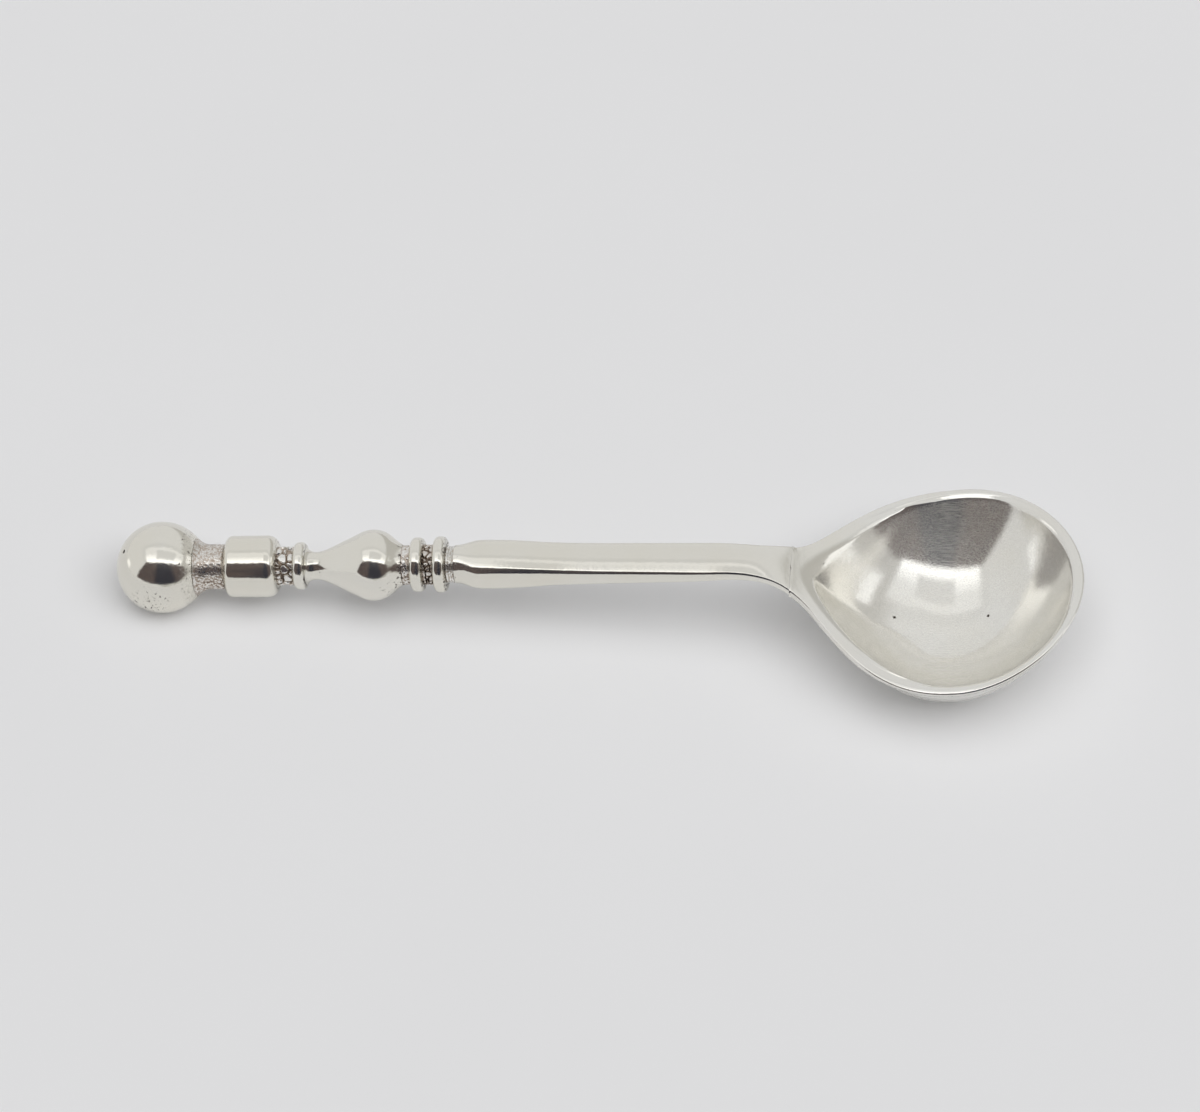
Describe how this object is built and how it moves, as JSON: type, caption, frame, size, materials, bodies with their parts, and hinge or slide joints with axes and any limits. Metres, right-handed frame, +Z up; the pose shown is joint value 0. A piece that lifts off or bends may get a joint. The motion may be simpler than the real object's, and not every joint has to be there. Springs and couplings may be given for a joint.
{
  "type": "condiment spoon",
  "caption": "Small silver condiment spoon with a deep pear-shaped bowl, a bent flat stem and a turned baluster handle ending in a ball finial.",
  "frame": {"origin": "below the middle of the spoon's length, on the surface that it rests on", "axes": "+X along the spoon from the ball finial to the tip of the bowl, +Z up out of the bowl"},
  "size_m": [0.0745, 0.0206, 0.009],
  "materials": {
    "polished_silver": "hand-polished sterling silver, fine scratches",
    "oxidised_silver": "rough, pitted, oxidised silver",
    "silver_wire": "drawn silver wire"
  },
  "bodies": {
    "root": {"bowl": "polished_silver", "stem": "polished_silver", "core_pin": "silver_wire", "stem_neck": "oxidised_silver", "lower_ring": "polished_silver", "ring_neck": "oxidised_silver", "upper_ring": "polished_silver", "knop_neck": "oxidised_silver", "knop": "polished_silver", "waist_ring": "polished_silver", "barrel_neck": "oxidised_silver", "barrel": "polished_silver", "ball_neck": "oxidised_silver", "ball_finial": "polished_silver"}
  },
  "joints": []
}
